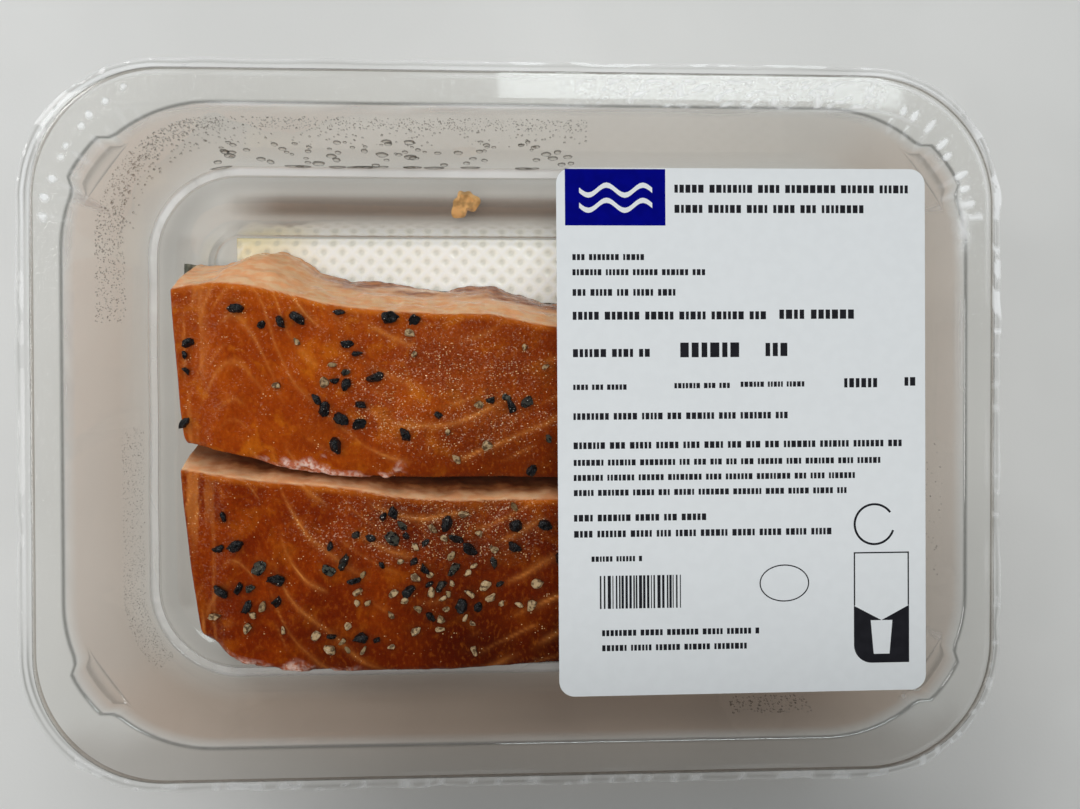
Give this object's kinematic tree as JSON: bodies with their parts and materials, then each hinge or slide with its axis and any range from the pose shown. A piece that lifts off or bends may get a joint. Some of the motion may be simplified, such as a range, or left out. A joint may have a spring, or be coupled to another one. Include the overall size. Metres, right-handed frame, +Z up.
{
  "type": "pack of smoked salmon",
  "caption": "Sealed clear tray with a film lid and a printed label, holding peppered hot-smoked salmon portions with their skin on an absorbent pad.",
  "frame": {"origin": "on the surface the tray stands on, below the middle of the film lid", "axes": "+Z up, +X along the long side towards the label, +Y away from someone who reads the label"},
  "size_m": [0.191, 0.1404, 0.0364],
  "materials": {
    "tray": "clear glossy",
    "film": "clear glossy",
    "label": "smooth white paper",
    "pad": "embossed, damp",
    "salmon": "moist, oily",
    "skin": "moist, scaled"
  },
  "bodies": {
    "root": {"tray": "tray", "film": "film", "label": "label", "pad": "pad", "salmon_back": "salmon", "salmon_front": "salmon", "skin_back": "skin", "skin_front": "skin"}
  },
  "joints": []
}
